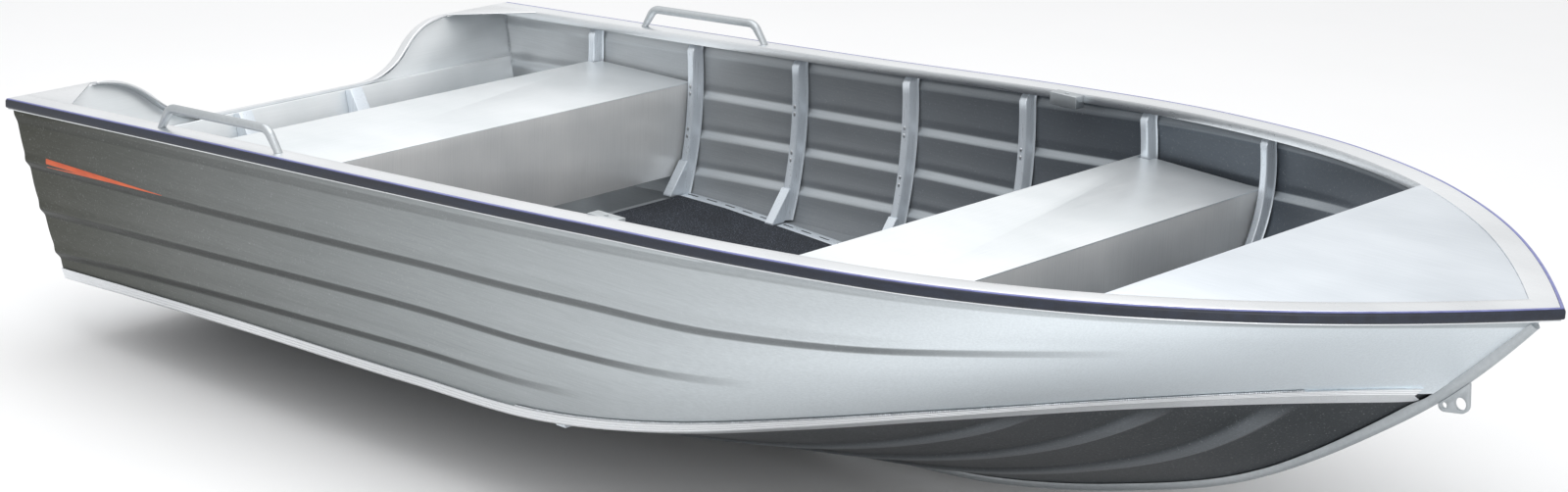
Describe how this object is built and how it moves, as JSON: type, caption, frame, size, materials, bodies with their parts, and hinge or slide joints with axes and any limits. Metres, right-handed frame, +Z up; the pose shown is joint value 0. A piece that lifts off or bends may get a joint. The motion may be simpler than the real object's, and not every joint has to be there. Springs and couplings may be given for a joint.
{
  "type": "aluminium dinghy",
  "caption": "Open pressed-aluminium boat with stepped sides, ribs, two thwarts, foredeck, carpeted floor and motor cut-out.",
  "frame": {"origin": "on the centreline amidships, at the waterline of the lightly loaded boat, 150 mm above the keel", "axes": "+X to the bow, +Y to port, +Z up"},
  "size_m": [4.6072, 2.1326, 0.9491],
  "materials": {
    "mill_aluminium": "brushed",
    "bright_aluminium": "satin",
    "grey_aluminium": "brushed",
    "rubber": "satin",
    "carpet": "matte",
    "stripe_orange": "gloss"
  },
  "bodies": {
    "root": {"side_panel_port": "mill_aluminium", "side_panel_starboard": "mill_aluminium", "bottom_panel_port": "mill_aluminium", "bottom_panel_starboard": "mill_aluminium", "chine_strip_port": "bright_aluminium", "chine_strip_starboard": "bright_aluminium", "keel_bar": "grey_aluminium", "bow_eye": "bright_aluminium", "gunwale_port": "bright_aluminium", "gunwale_starboard": "bright_aluminium", "rub_strip_port": "rubber", "rub_strip_starboard": "rubber", "transom_plate": "mill_aluminium", "transom_cap": "bright_aluminium", "transom_board": "bright_aluminium", "motor_pad": "grey_aluminium", "transom_knees": "grey_aluminium", "drain_socket": "bright_aluminium", "corner_plate_port": "bright_aluminium", "corner_plate_starboard": "bright_aluminium", "frame_1": "grey_aluminium", "frame_2": "grey_aluminium", "frame_3": "grey_aluminium", "frame_4": "grey_aluminium", "frame_5": "grey_aluminium", "frame_6": "grey_aluminium", "frame_7": "grey_aluminium", "floor_bearers": "grey_aluminium", "floor_panel": "carpet", "floor_rails": "grey_aluminium", "aft_thwart_top": "bright_aluminium", "aft_thwart_front": "bright_aluminium", "fore_thwart_top": "bright_aluminium", "fore_thwart_front": "bright_aluminium", "fore_thwart_back": "bright_aluminium", "foredeck": "bright_aluminium", "rowlock_port": "bright_aluminium", "rowlock_starboard": "bright_aluminium", "handle_port": "bright_aluminium", "handle_starboard": "bright_aluminium"}
  },
  "joints": []
}
